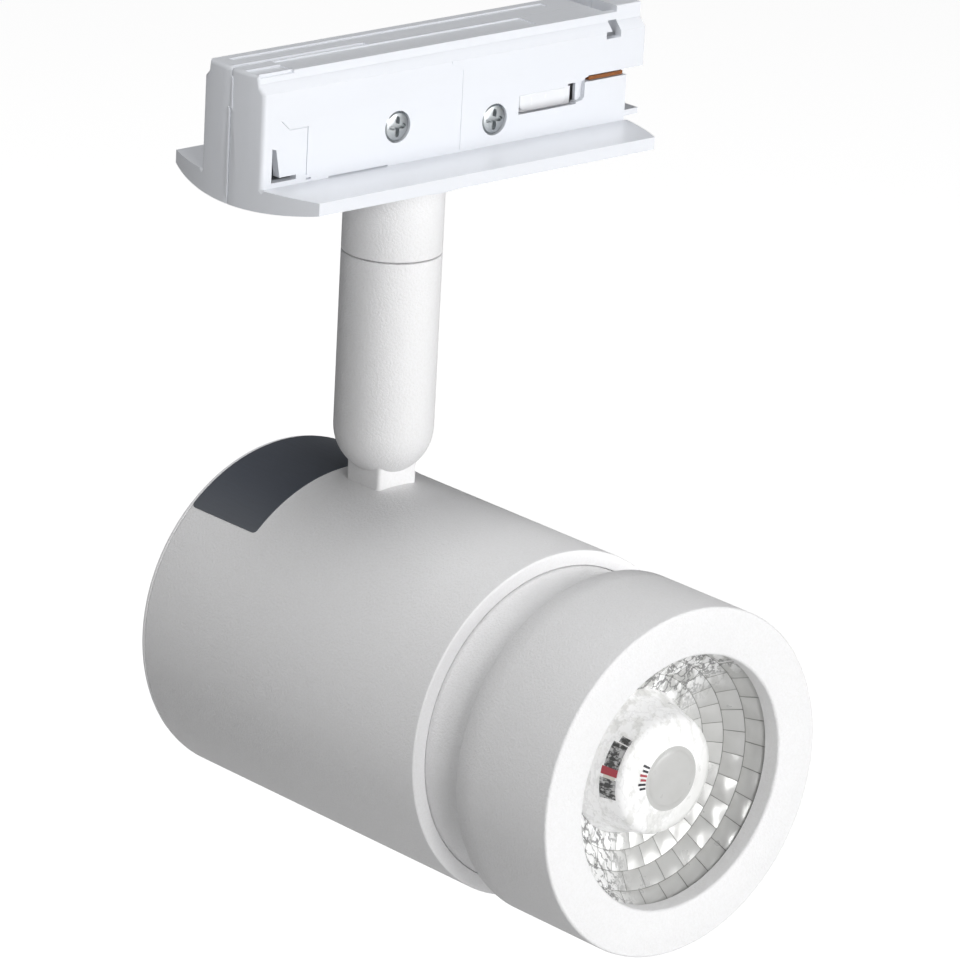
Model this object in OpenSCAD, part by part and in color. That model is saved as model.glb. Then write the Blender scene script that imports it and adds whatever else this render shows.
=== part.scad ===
// Track spotlight: a two-shell track adapter, a round swivelling stem and a tilting
// cylindrical head with a twist-on front ring. Millimetres, +Z up.
// The origin is on the stem's axis, in the plane of the track's mouth (the flange's top
// face). +X runs along the track and the lamp shines towards -Y when it is level.

/* [Adapter] */
// Width of the flange across the track
flange_w = 34.4; // [32:0.1:42]
// From the stem's axis to the flange's left corners
flange_left = 30.2; // [29:0.1:40]
// From the stem's axis to the flange's right corners
flange_right = 39.1; // [38:0.1:50]
// How far each end of the flange bulges past its corners
end_bulge = 3.8; // [2:0.1:5]
// Thickness of the flange at its long edges
flange_edge = 2.05; // [1.5:0.05:3]
// How far the flange's underside bellies down at the middle
flange_belly = 1.75; // [1:0.05:3]
// Width of the part that goes into the track
body_w = 14.3; // [13:0.1:16]
// Height of that part above the flange
body_h = 17.7; // [17:0.1:21]
// Wall thickness of the two shells
shell_wall = 1.4; // [1.2:0.1:1.6]

/* [Stem] */
// Diameter of the collar and of the stem
stem_d = 16; // [15.5:0.1:19.2]
// Length of the fixed collar below the flange's boss
collar_l = 11.9; // [10:0.1:15]
// From the track's mouth down to the tilt pivot
pivot_drop = 45.3; // [42:0.1:56]
// Width of the square knuckle
knuckle_w = 8; // [7:0.1:8.4]
// Diameter of the pivot screw
pivot_d = 3; // [2.5:0.1:3.2]

/* [Head] */
// Outer diameter of the housing
head_d = 56.3; // [54:0.1:68]
// Wall thickness of the housing tube
head_wall = 2.42; // [2:0.05:3]
// From the pivot down to the top of the head
head_drop = 9.28; // [9:0.01:11.5]
// How far the head reaches behind the stem's axis
head_rear = 24.15; // [22:0.05:29]
// From the stem's axis to the front end of the housing tube
body_front = 42.17; // [41:0.05:51]
// Length of the waisted neck in front of the housing
neck_l = 8.8; // [8:0.1:10.6]
// Length of the front sleeve
sleeve_l = 21.18; // [20:0.05:25]
// Diameter of the front sleeve
sleeve_d = 56; // [55:0.1:68]
// Radius of the opening in the front face
aperture_r = 20.4; // [17:0.1:20.6]
// How deep the lens lies behind the front face
lens_depth = 3; // [2.6:0.1:3.6]

/* [Fits] */
// Radial clearance of every turning fit
run_clear = 0.05; // [0.02:0.01:0.1]
// Radial clearance of the ring's spigot in the housing
ring_clear = 0.07; // [0.03:0.01:0.1]
// Clearance beside pieces that slide
slide_clear = 0.15; // [0.1:0.01:0.25]
// Gap between flat faces that turn or move past each other
face_gap = 0.1; // [0.05:0.01:0.2]

/* [Motion] */
// Pan to each side
pan_range = 170; // [90:1:172]
// Travel of the release slider
release_travel = 3; // [2.5:0.1:3]
// Turn that frees the front ring
ring_turn = 25; // [15:1:30]

/* [Hidden] */
$fn = 96;
eps = 0.02;
far = 200;

// adapter
split_gap = 0.1;
half_w = flange_w / 2;
bulge_r = (half_w * half_w + end_bulge * end_bulge) / (2 * end_bulge);
belly_r = (half_w * half_w + flange_belly * flange_belly) / (2 * flange_belly);
flange_low = flange_edge + flange_belly;
boss_r = stem_d / 2 + 3.4;
boss_z = -4.5;
body_x0 = -flange_left - end_bulge;
body_x1 = flange_right + 2.6;
nose_x1 = body_x1 + 3.5;
crown_z = body_h - 1.4;
crown_w = body_w - 2.6;
shoulder_z = crown_z - 1.4;
plate_x0 = nose_x1 - 5.2;
plate_y1 = 3.5;
plate_z1 = body_h + 1.4;
key_x0 = nose_x1 - 7;
key_z0 = shoulder_z - 1;
tongue_relief = 0.3;
cavity_w = body_w - 2 * shell_wall;
cavity_z1 = shoulder_z - 0.3;
cavity_x0 = body_x0 + 2.6;
cavity_x1 = body_x1 - 1.5;
slot_z = [7.5, 8.5];
slot_x0 = body_x1 - 8.3;
slot_depth = 3.2;
window_z = [4.2, 7.3];
window_x = [body_x1 - 22.9, body_x1 - 10.7];

// shell screws, as [x, z]
screw_at = [[-6.3, 6.0], [13.8, 4.2]];
screw_r = 1.1;
screw_head_r = 2.45;
screw_head_t = 0.95;
screw_boss_r = 2.7;
bore_depth = 1.0;

// latch
pawl_pin_r = 0.6;
pawl_recess = 0.6;
pawl_pivot = [window_x[0] + 1.6, body_w / 2 - pawl_recess - 1.5];
pawl_z = [window_z[0] + slide_clear, window_z[1] - slide_clear];
pawl_t = 1.8;
pawl_swing = 9;
post_r = 0.7;
post_from = [pawl_pivot[0] + 3.6, pawl_pivot[1] - 2.2];
post_slack = 0.25;
tab_z = [4.6, 6.0];
slider_t = 1.0;
tongue_w = 2 * (cavity_w / 2 - 0.05);
tongue_x1 = body_x1 + 4.3;
carrier_x0 = window_x[1] + 2.0;
carrier_z1 = slot_z[0] + slide_clear;
lug_x1 = carrier_x0 - 5;
spring_z = 2.9;
spring_r = 1.15;
spring_wire = 0.4;
spring_turns = 4;

// contacts and leads
blade_t = 0.6;
lead_r = 0.55;
lead_y = 1.2;
lead_z = 10.8;
contact_y = 2.2;

// nipple and swivel
nipple_r = 3.9;
nipple_bore = 2.7;
nut_af = 10.4;
nut_t = 2.0;
collar_z0 = boss_z;
collar_z1 = boss_z - collar_l;
web_t = 3;
stem_gap = 0.25;
stem_z1 = collar_z1 - stem_gap;
slip_r = 5.6;
slip_t = 0.5;
stop_r = 0.5;
stop_at = 6.6;
stop_clear = 0.1;
stop_depth = 1.0;
wave_t = 0.5;
lock_t = 3;
stem_r = stem_d / 2;
stem_bore = 6.3;
stem_web = stem_z1 - web_t;
nipple_z0 = stem_web - wave_t - lock_t - 1;
pivot_z = -pivot_drop;
pocket_r = knuckle_w / 2 + slide_clear;
pocket_top = pivot_z + pocket_r;
stem_solid_z = pocket_top + 3.2;

// head: along the head's axis, d is the distance forward of the stem's axis
head_r = head_d / 2;
head_z = pivot_z - head_drop - head_r;
tube_r = head_r - head_wall;
cap_t = 0.75;
tube_d0 = -head_rear + cap_t;
spigot_r = tube_r - ring_clear;
neck_d1 = body_front + neck_l;
face_d = neck_d1 + sleeve_l;
lens_d1 = face_d - lens_depth - 0.55;
rim_r = aperture_r + 2.8;
rim_t = 2;
ring_bore = rim_r + 0.2;
seat_d = face_d - lens_depth;
relief_r = sleeve_d / 2 - 2;
sink_d0 = 8;
sink_plate = body_front - 12.67;
sink_d1 = sink_plate + 6;
sink_boss_r = ring_bore - 1.4;
sink_boss_d = neck_d1 - 5.97;
sink_r = tube_r - 0.04;
sink_core = 9;
fin_count = 16;
fin_t = 1.6;
pillar_r = 2.6;
pillar_at = [for (a = [30, 150, 270]) [19 * cos(a), 19 * sin(a)]];
pillar_d0 = tube_d0 + 3.4;
ring_d0 = sink_d1 + 0.5;
pin_r = 1.0;
pin_d = ring_d0 + 3.5;
pin_angles = [90, 210, 330];
groove_w = 2 * pin_r + 0.4;
groove_r = ring_bore + 1.15;
waist_depth = 0.75;
cob_w = 20;
pad_t = 0.3;
cob_t = 1.2;
cob_d = sink_boss_d + pad_t;
cob_d1 = cob_d + cob_t;
glow_r = 5.2;
glow_t = 0.6;
holder_r = 17.5;
holder_d1 = cob_d1 + 2.4;
holder_bore = 12.2;
holder_seat = cob_d1 + 0.9;
holder_screw_x = 14.7;
lens_d0 = cob_d1 + 1.0;
lens_r0 = 8.8;
lens_h = lens_d1 - rim_t - lens_d0;
well_r = 5.4;
well_h = 10;
board_x = 13.5;
board_d = [-18, 6];
board_y = [-4.8, -3.2];
cradle_y = -7.5;
terminal_top = 6;
knuckle_lead = [1.6, 2.6];
knuckle_screw = [2.4, -2.2];
knuckle_screw_r = 1.0;
knuckle_head_z = head_z + tube_r - 0.4;
led_lead = [5.5, -11.5];
led_lead_r = 0.5;
led_lead_d = board_d[0] + 4;
label_arc = 87;
label_d = [-23.3, -7.5];
label_t = 0.1;

// ---- helpers -------------------------------------------------------------------------

// Draws along the head's axis: local z is the distance d forward, local y is up
module along_head() translate([0, 0, head_z]) rotate([90, 0, 0]) children();

// A box from its two corners
module span(a, b) translate(a) cube(b - a);

// A round bar between two heights
module bar(r, z0, z1) translate([0, 0, z0]) cylinder(r = r, h = z1 - z0);

// A round bar standing on a point
module bar_at(p, r, h) translate(p) cylinder(r = r, h = h);

// A tube between two heights
module tube(r_out, r_in, z0, z1) difference() {
  bar(r_out, z0, z1);
  bar(r_in, z0 - 1, z1 + 1);
}

// A hexagon nut drilled for a shaft
module hex_nut(af, bore, z0, z1) difference() {
  translate([0, 0, z0]) cylinder(r = af / 2 / cos(30), h = z1 - z0, $fn = 6);
  bar(bore, z0 - 1, z1 + 1);
}

// A pan-head screw along +z whose head's underside is at z = 0
module screw(r, length, head_r, head_t) difference() {
  union() {
    bar(r, -head_t * 0.3, length);
    bar(head_r, -head_t, 0);
  }
  for (a = [0, 90]) rotate(a) span([-head_r * 0.62, -head_t * 0.22, -head_t - 1],
                                   [head_r * 0.62, head_t * 0.22, -head_t * 0.4]);
}

// A round wire through a list of points
module wire(points, r) for (i = [0 : len(points) - 2]) {
  step = points[i + 1] - points[i];
  length = norm(step);
  translate(points[i]) {
    rotate([0, acos(step[2] / length), atan2(step[1], step[0])]) cylinder(r = r, h = length, $fn = 24);
    if (i > 0) sphere(r = r * 1.04, $fn = 24);
  }
}

// A closed coil swept along a helix on +z
module coil(r, wire_r, turns, length, sides = 8, steps = 14) {
  rings = turns * steps;
  points = [for (i = [0 : rings], j = [0 : sides - 1])
    let (a = 360 * i / steps, b = 360 * j / sides)
    [(r + wire_r * cos(b)) * cos(a), (r + wire_r * cos(b)) * sin(a),
     length * i / rings + wire_r * sin(b)]];
  skins = [for (i = [0 : rings - 1], j = [0 : sides - 1])
    [i * sides + j, (i + 1) * sides + j, (i + 1) * sides + (j + 1) % sides, i * sides + (j + 1) % sides]];
  ends = [[for (j = [0 : sides - 1]) j], [for (j = [sides - 1 : -1 : 0]) rings * sides + j]];
  polyhedron(points, concat(skins, ends), convexity = 10);
}

// ---- adapter -------------------------------------------------------------------------

// The flange in plan: straight long edges and bulging ends
module flange_plan() intersection() {
  translate([-far / 2, -half_w]) square([far, flange_w]);
  translate([bulge_r - flange_left - end_bulge, 0]) circle(r = bulge_r);
  translate([flange_right + end_bulge - bulge_r, 0]) circle(r = bulge_r);
}

module flange() {
  intersection() {
    translate([0, 0, -flange_low]) linear_extrude(flange_low) flange_plan();
    translate([-far / 2, 0, belly_r - flange_low]) rotate([0, 90, 0])
      cylinder(r = belly_r, h = far, $fn = 180);
  }
  bar(boss_r, boss_z, -flange_edge);
}

// The section of the body that enters the track
module body_section() polygon([
  [-body_w / 2, -1], [body_w / 2, -1], [body_w / 2, shoulder_z], [crown_w / 2, crown_z],
  [crown_w / 2, body_h], [-crown_w / 2, body_h], [-crown_w / 2, crown_z], [-body_w / 2, shoulder_z]]);

module body_run(x0, x1) translate([x0, 0, 0]) rotate([90, 0, 90]) linear_extrude(x1 - x0) body_section();

// Both shells in one piece, before they are parted
module adapter_blank() {
  flange();
  intersection() {
    body_run(body_x0, body_x1);
    bar_at([bulge_r + body_x0, 0, -1], bulge_r, far);
  }
  intersection() {
    body_run(body_x1 - 1, nose_x1);
    span([0, -far / 2, slot_z[1]], [far, far / 2, far]);
  }
  // web between the two contact slots
  span([body_x1 - 1, slot_depth - body_w / 2, slot_z[0]],
       [nose_x1 - 0.7, body_w / 2 - slot_depth, slot_z[1] + 1]);
  // raised plate with one rounded edge
  span([plate_x0, -crown_w / 2, body_h - 1], [nose_x1, plate_y1 - 1.4, plate_z1]);
  span([plate_x0, -crown_w / 2, body_h - 1], [nose_x1, plate_y1, plate_z1 - 1.4]);
  translate([plate_x0, plate_y1 - 1.4, plate_z1 - 1.4]) rotate([0, 90, 0])
    cylinder(r = 1.4, h = nose_x1 - plate_x0);
}

// What both sides have cut out of them alike, drawn for the side at -y
module side_cuts() {
  span([window_x[0], -body_w, window_z[0]], [window_x[1], -cavity_w / 2 + eps, window_z[1]]);
  span([slot_x0, -body_w, slot_z[0]], [nose_x1 + 1, -body_w / 2 + slot_depth, slot_z[1]]);
  span([window_x[1] - eps, -body_w, window_z[1] - 1.1], [slot_x0 + eps, -cavity_w / 2 + eps, slot_z[1]]);
  // spring tongue moulded into the left end
  translate([body_x0 + 1, -cavity_w / 2 + eps, 0]) rotate([90, 0, 0]) linear_extrude(far)
    polygon([[1.6, 0.8], [6.5, 0.8], [6.5, 1.7], [3.4, 1.7], [2.6, 6.0], [1.6, 6.2]]);
  // key slot and its foot
  span([key_x0, -body_w, key_z0], [plate_x0, -crown_w / 2 + 0.5, far]);
  span([key_x0 - 1.3, -body_w, key_z0], [key_x0 + eps, -crown_w / 2 + 0.5, shoulder_z + 0.1]);
}

module screw_bosses() for (p = screw_at)
  translate([p[0], body_w / 2 - 0.5, p[1]]) rotate([90, 0, 0]) cylinder(r = screw_boss_r, h = body_w - 1);

module adapter_cuts() {
  difference() {
    span([cavity_x0, -cavity_w / 2, 0], [cavity_x1, cavity_w / 2, cavity_z1]);
    screw_bosses();
  }
  side_cuts();
  mirror([0, 1, 0]) side_cuts();
  // the key slot runs on across the crown
  span([key_x0, -body_w, crown_z - 0.4], [plate_x0, body_w, far]);
  // relief in the flange under the tongue, for a thumbnail
  span([body_x1, -body_w / 2, -tongue_relief], [far, body_w / 2, eps]);
  // mouth for the release tongue
  span([cavity_x1 - 1, -cavity_w / 2 - 0.1, 0], [nose_x1, cavity_w / 2 + 0.1, slider_t + 0.25]);
  bar(nipple_r + run_clear, boss_z - 1, 1);
  for (s = [-1, 1]) translate([pawl_pivot[0], s * pawl_pivot[1], 0]) bar(pawl_pin_r + run_clear, -1.2, 9);
  for (p = screw_at) translate([p[0], 0, p[1]]) rotate([-90, 0, 0]) {
    bar(screw_head_r + 0.3, -body_w, -body_w / 2 + bore_depth);
    bar(screw_r + 0.2, -body_w, 0);
    bar(screw_r + 0.02, -1, 5.5);
  }
}

module shell_half(side) difference() {
  intersection() {
    adapter_blank();
    translate([-far / 2, side > 0 ? split_gap / 2 : -far - split_gap / 2, -far / 2]) cube(far);
  }
  adapter_cuts();
}

module front_shell() color("white") shell_half(-1);
module rear_shell() color("white") shell_half(1);

module shell_screws() color("silver") for (p = screw_at)
  translate([p[0], -body_w / 2 + bore_depth, p[1]]) rotate([-90, 0, 0])
    screw(screw_r, body_w / 2 - bore_depth + 5.2, screw_head_r, screw_head_t);

module contact_carrier() color("whitesmoke")
  span([carrier_x0, -cavity_w / 2 + 0.05, slider_t + 0.35],
       [cavity_x1 - 0.1, cavity_w / 2 - 0.05, carrier_z1]);

// A flat copper blade in the side slot with a tail for its lead, for the side at -y
module contact_blade() {
  z0 = carrier_z1;
  z1 = carrier_z1 + blade_t;
  span([slot_x0 + 0.4, -body_w / 2 + 0.25, z0], [body_x1 - 0.7, -cavity_w / 2 + 1.6, z1]);
  span([slot_x0 + 0.4, -cavity_w / 2 + 1.6 - eps, z0], [cavity_x1 - 1.2, -1.0, z1]);
  span([carrier_x0 - 4, -3.2, z0], [slot_x0 + 0.4 + eps, -1.2, z1]);
}

module live_contact() color("chocolate") contact_blade();
module neutral_contact() color("chocolate") mirror([0, 1, 0]) contact_blade();

// Leads rise from the contacts' tails, cross the adapter and drop through the nipple
module supply_leads() for (s = [-1, 1]) color(s < 0 ? "saddlebrown" : "royalblue")
  wire([[carrier_x0 - 3, s * contact_y, carrier_z1 + blade_t + lead_r],
        [carrier_x0 - 3, s * contact_y, lead_z], [0, s * lead_y, lead_z],
        [0, s * lead_y, pocket_top + 0.8]], lead_r);

module pawl_pins() color("silver") for (s = [-1, 1])
  translate([pawl_pivot[0], s * pawl_pivot[1], 0]) bar(pawl_pin_r, -1.1, 8.8);

module release_spring() color("silver")
  translate([lug_x1 + spring_wire / 2, 0, spring_z]) rotate([0, 90, 0])
    coil(spring_r, spring_wire / 2, spring_turns, carrier_x0 - lug_x1 - spring_wire);

// A flat slider with a thumb tongue, two cam posts and a lug for its spring
module release_slider() color("white") {
  z0 = face_gap;
  z1 = face_gap + slider_t;
  post_y = post_from[1];
  span([window_x[0] - 0.5, -post_y - 1, z0], [tongue_x1 - 9, post_y + 1, z1]);
  span([tongue_x1 - 9 - eps, -tongue_w / 2, z0], [tongue_x1, tongue_w / 2, z1]);
  span([lug_x1 - 1.5, -1.5, z1 - eps], [lug_x1, 1.5, spring_z + 1.4]);
  for (s = [-1, 1]) translate([post_from[0], s * post_y, 0]) bar(post_r, z1 - eps, tab_z[1] + 0.3);
}

// Where the cam post ends in the pawl's own frame once the slider is pulled
function post_to() =
  let (dx = post_from[0] + release_travel - pawl_pivot[0], dy = post_from[1] - pawl_pivot[1])
  [pawl_pivot[0] + dx * cos(pawl_swing) - dy * sin(pawl_swing),
   pawl_pivot[1] + dx * sin(pawl_swing) + dy * cos(pawl_swing)];

// A latch pawl with a slotted tab over the cam post, for the side at +y
module pawl() {
  face_y = body_w / 2 - pawl_recess;
  end_x = window_x[1] - 0.4;
  slot_r = post_r + post_slack;
  slot = post_to() - post_from;
  difference() {
    union() {
      span([pawl_pivot[0], face_y - pawl_t, pawl_z[0]], [end_x - pawl_t / 2, face_y, pawl_z[1]]);
      translate([end_x - pawl_t / 2, face_y - pawl_t / 2, 0]) bar(pawl_t / 2, pawl_z[0], pawl_z[1]);
      translate([pawl_pivot[0], pawl_pivot[1], 0]) bar(face_y - pawl_pivot[1], pawl_z[0], pawl_z[1]);
      span([post_from[0] - 2, post_from[1] - 1.3, tab_z[0]],
           [post_from[0] + 5, face_y - pawl_t + eps, tab_z[1]]);
    }
    translate([pawl_pivot[0], pawl_pivot[1], 0]) bar(pawl_pin_r + run_clear, 0, far);
    translate([post_from[0], post_from[1], 0]) {
      bar(slot_r, 0, tab_z[1] + 1);
      translate([slot[0], slot[1], 0]) bar(slot_r, 0, tab_z[1] + 1);
      rotate(atan2(slot[1], slot[0])) span([0, -slot_r, 0], [norm(slot), slot_r, tab_z[1] + 1]);
    }
  }
}

module rear_pawl() color("white") pawl();
module front_pawl() color("white") mirror([0, 1, 0]) pawl();

// ---- swivel --------------------------------------------------------------------------

module nipple() color("silver") tube(nipple_r, nipple_bore, nipple_z0, nut_t + 0.6);

module nipple_nut() color("silver") hex_nut(nut_af, nipple_r + eps, 0, nut_t);

module collar() color("white") difference() {
  bar(stem_r, collar_z1, collar_z0);
  bar(stem_r - 1.6, collar_z1 + web_t, collar_z0 + 1);
  bar(nipple_r + eps, collar_z1 - 1, collar_z0);
  translate([0, stop_at, 0]) bar(stop_r + eps, collar_z1 - 1, collar_z1 + web_t - 0.5);
}

module pan_stop_pin() color("silver")
  translate([0, stop_at, 0]) bar(stop_r, stem_z1 - stop_depth + 0.25, collar_z1 + web_t - 0.6);

module slip_washer() color("ivory") tube(slip_r, nipple_r + run_clear, collar_z1 - slip_t, collar_z1);

module wave_washer() color("silver") tube(slip_r + 0.4, nipple_r + run_clear, stem_web - wave_t, stem_web);

module swivel_nut() color("silver")
  hex_nut(nut_af, nipple_r + eps, stem_web - wave_t - lock_t, stem_web - wave_t);

// The arc the pan stop runs in: it is open all round but for one land at the back of it
module stop_groove() {
  half = pan_range + asin((stop_r + stop_clear) / stop_at);
  rotate(90 - half) rotate_extrude(angle = 2 * half)
    translate([stop_at - stop_r - stop_clear, stem_z1 - stop_depth])
      square([2 * (stop_r + stop_clear), stop_depth + 1]);
}

// A tube with a domed end that is slotted below and behind for the knuckle
module stem_tube() color("white") difference() {
  union() {
    bar(stem_r, pivot_z, stem_z1);
    translate([0, 0, pivot_z]) sphere(r = stem_r);
  }
  bar(nipple_r + run_clear, stem_web - 1, stem_z1 + 1);
  bar(slip_r + run_clear, collar_z1 - slip_t, stem_z1 + 1);
  stop_groove();
  bar(stem_bore, stem_solid_z, stem_web);
  bar(nipple_bore, pocket_top - 1, stem_solid_z + 1);
  span([-knuckle_w / 2 - face_gap, -pocket_r, pivot_z - far], [knuckle_w / 2 + face_gap, far, pocket_top]);
  translate([0, 0, pivot_z]) rotate([0, 90, 0]) {
    bar(pivot_d / 2 + run_clear, -stem_r + 1.3, stem_r);
    bar(pivot_d / 2 + 1.4, stem_r - 2.4, stem_r + 1);
  }
}

module pivot_screw() color("silver") translate([stem_r - 2.4, 0, pivot_z]) rotate([0, -90, 0])
  screw(pivot_d / 2, 2 * stem_r - 3.8, pivot_d / 2 + 1.2, 1.6);

// ---- head ----------------------------------------------------------------------------

module knuckle_plan() {
  a = knuckle_w / 2;
  b = a - 0.6;
  polygon([[-a, -b], [-b, -a], [b, -a], [a, -b], [a, b], [b, a], [-b, a], [-a, b]]);
}

module knuckle() color("white") difference() {
  intersection() {
    translate([0, 0, head_z]) linear_extrude(head_r + head_drop + knuckle_w) knuckle_plan();
    union() {
      span([-far, -far, head_z], [far, far, pivot_z]);
      translate([-far / 2, 0, pivot_z]) rotate([0, 90, 0]) cylinder(r = knuckle_w / 2, h = far);
    }
  }
  along_head() bar(head_r, -far, far);
  translate([-far / 2, 0, pivot_z]) rotate([0, 90, 0]) cylinder(r = pivot_d / 2 + run_clear, h = far);
  for (s = [-1, 1]) {
    translate([s * knuckle_lead[0], knuckle_lead[1], 0]) bar(lead_r + 0.2, head_z, 0);
    translate([s * knuckle_screw[0], knuckle_screw[1], 0]) bar(knuckle_screw_r + eps, head_z, pivot_z - 3.8);
  }
}

module knuckle_screws() color("silver") for (s = [-1, 1])
  translate([s * knuckle_screw[0], knuckle_screw[1], knuckle_head_z])
    screw(knuckle_screw_r, pivot_z - 4 - knuckle_head_z, 1.8, 1.2);

module housing_tube() color("white") difference() {
  along_head() tube(head_r, tube_r, tube_d0, body_front);
  for (s = [-1, 1]) translate([s * knuckle_screw[0], knuckle_screw[1], 0])
    bar(knuckle_screw_r + 0.15, head_z, 0);
  translate([0, knuckle_lead[1], 0]) bar(knuckle_lead[0] + lead_r + 0.25, head_z, 0);
}

module rear_cap() color("white") along_head() difference() {
  union() {
    bar(head_r, -head_rear, tube_d0);
    tube(tube_r - 0.05, tube_r - 1.5, tube_d0 - eps, tube_d0 + 3.3);
    for (p = pillar_at) translate(p) bar(pillar_r + 1, tube_d0 - eps, pillar_d0);
  }
  for (p = pillar_at) translate(p) {
    bar(1.65, -head_rear - 1, pillar_d0 + 1);
    bar(2.95, -head_rear - 1, -head_rear + 1.7);
  }
}

module rear_cap_screws() color("silver") along_head() for (p = pillar_at)
  translate([p[0], p[1], -head_rear + 1.7]) screw(1.5, 10, 2.75, 1.5);

// Finned aluminium core with a front boss for the lamp and three pillars for the rear cap
module heat_sink() color("lightgray") along_head() difference() {
  union() {
    bar(sink_r, sink_plate, sink_d1);
    bar(sink_boss_r, sink_d1 - eps, sink_boss_d);
    bar(sink_core, sink_d0, sink_plate + eps);
    intersection() {
      bar(sink_r - 0.5, sink_d0, sink_plate + eps);
      for (i = [0 : fin_count / 2 - 1]) rotate(360 * (i + 0.5) / fin_count)
        span([-far / 2, -fin_t / 2, sink_d0], [far / 2, fin_t / 2, sink_plate + eps]);
    }
    for (p = pillar_at) translate(p) bar(pillar_r, pillar_d0, sink_plate + eps);
  }
  for (p = pillar_at) translate(p) bar(1.5 + eps, pillar_d0 - 1, -head_rear + 12.5);
  for (s = [-1, 1]) {
    translate([s * led_lead[0], led_lead[1], 0]) bar(led_lead_r + 0.5, sink_d0 - 1, sink_boss_d + 1);
    translate([s * holder_screw_x, 0, 0]) bar(1 + eps, sink_boss_d - 6.5, sink_boss_d + 1);
  }
  for (a = pin_angles) rotate(a) translate([sink_boss_r - 3, 0, pin_d]) rotate([0, 90, 0])
    bar(pin_r + eps, 0, 4);
}

module ring_pins() color("silver") along_head() for (a = pin_angles)
  rotate(a) translate([0, 0, pin_d]) rotate([0, 90, 0]) bar(pin_r, sink_boss_r - 2.9, groove_r - 0.15);

module driver_cradle() color("whitesmoke") along_head() {
  difference() {
    span([-board_x - 0.5, cradle_y, board_d[0] - 1], [board_x + 0.5, cradle_y + 1, sink_d0]);
    for (s = [-1, 1]) translate([s * led_lead[0], 0, led_lead_d]) rotate([-90, 0, 0])
      bar(led_lead_r + 0.3, cradle_y - 1, 0);
  }
  span([-board_x - 0.5, cradle_y + 1 - eps, board_d[1] + 0.5], [board_x + 0.5, 2, sink_d0]);
  for (s = [-1, 1], d = [board_d[0] + 2, board_d[1] - 2]) translate([s * (board_x - 2), 0, d])
    rotate([-90, 0, 0]) bar(1.5, cradle_y + 1 - eps, board_y[0]);
}

module driver_board() color("darkgreen") along_head()
  span([-board_x, board_y[0], board_d[0]], [board_x, board_y[1], board_d[1]]);

module driver_transformer() color("goldenrod") along_head() {
  span([-12.5, board_y[1], -16], [-3.5, board_y[1] + 2, -6]);
  span([-11.5, board_y[1] + 2 - eps, -15], [-4.5, board_y[1] + 8, -7]);
  span([-12.5, board_y[1] + 8 - eps, -16], [-3.5, board_y[1] + 10, -6]);
}

module driver_capacitors() color("dimgray") along_head() {
  translate([8, board_y[1], -12]) rotate([-90, 0, 0]) cylinder(r = 4, h = 12);
  translate([9, board_y[1], 0]) rotate([-90, 0, 0]) cylinder(r = 3, h = 9);
}

module terminal_block() color("green") along_head() difference() {
  span([-4, board_y[1], -6], [4, terminal_top, 1.5]);
  for (s = [-1, 1]) translate([s * knuckle_lead[0], terminal_top, -knuckle_lead[1]]) rotate([-90, 0, 0])
    bar(lead_r + 0.3, -1.5, 1);
}

// Mains leads from the tilt joint down to the driver
module head_leads() for (s = [-1, 1]) color(s < 0 ? "saddlebrown" : "royalblue")
  translate([s * knuckle_lead[0], knuckle_lead[1], 0])
    bar(lead_r, head_z + terminal_top - 0.3, pivot_z + 2.2);

// Lamp leads from the driver through the heat sink to the light engine
module led_leads() along_head() for (s = [-1, 1]) color(s < 0 ? "black" : "red")
  wire([[s * led_lead[0], board_y[0] - led_lead_r, led_lead_d],
        [s * led_lead[0], led_lead[1], led_lead_d],
        [s * led_lead[0], led_lead[1], cob_d1 + led_lead_r + 0.05],
        [s * led_lead[0], -cob_w / 2 + 1, cob_d1 + led_lead_r + 0.05]], led_lead_r);

module thermal_pad() color("gray") along_head()
  span([-cob_w / 2, -cob_w / 2, sink_boss_d], [cob_w / 2, cob_w / 2, cob_d]);

module led_board() color("lightgray") along_head()
  span([-cob_w / 2, -cob_w / 2, cob_d], [cob_w / 2, cob_w / 2, cob_d1]);

module led_emitter() color("yellow") along_head() bar(glow_r, cob_d1, cob_d1 + glow_t);

module led_holder() color("white") along_head() difference() {
  bar(holder_r, sink_boss_d, holder_d1);
  bar(holder_bore, holder_seat, far);
  bar(glow_r + 0.6, 0, far);
  span([-cob_w / 2 - 0.1, -cob_w / 2 - 0.1, 0], [cob_w / 2 + 0.1, cob_w / 2 + 0.1, cob_d1]);
  span([-led_lead[0] - 1, led_lead[1] - 1, 0], [led_lead[0] + 1, -cob_w / 2 + 2, cob_d1 + 1.3]);
  for (s = [-1, 1]) translate([s * holder_screw_x, 0, 0]) bar(1.1, 0, far);
}

module holder_screws() color("silver") along_head() for (s = [-1, 1])
  translate([s * holder_screw_x, 0, holder_d1]) rotate([180, 0, 0]) screw(1, 8, 1.8, 1.1);

// Radius of the collimator's flank at a share t of its height
function flank_r(t) = lens_r0 + (rim_r - 1.6 - lens_r0) * pow(t, 0.62);

module lens() color([0.9, 0.95, 1, 0.4]) along_head() rotate_extrude() polygon(concat(
  [[0, lens_d1], [rim_r, lens_d1], [rim_r, lens_d1 - rim_t]],
  [for (i = [12 : -1 : 0]) [flank_r(i / 12), lens_d0 + lens_h * i / 12]],
  [[well_r, lens_d0]],
  [for (i = [0 : 6]) [(well_r - 0.8) * cos(i * 15), lens_d0 + well_h - 2.5 * sin(i * 15)]]));

module rating_label() color("gainsboro") along_head()
  rotate(90 - label_arc / 2) rotate_extrude(angle = label_arc)
    translate([head_r + 0.01, label_d[0]]) square([label_t, label_d[1] - label_d[0]]);

// ---- front ring ----------------------------------------------------------------------

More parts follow.
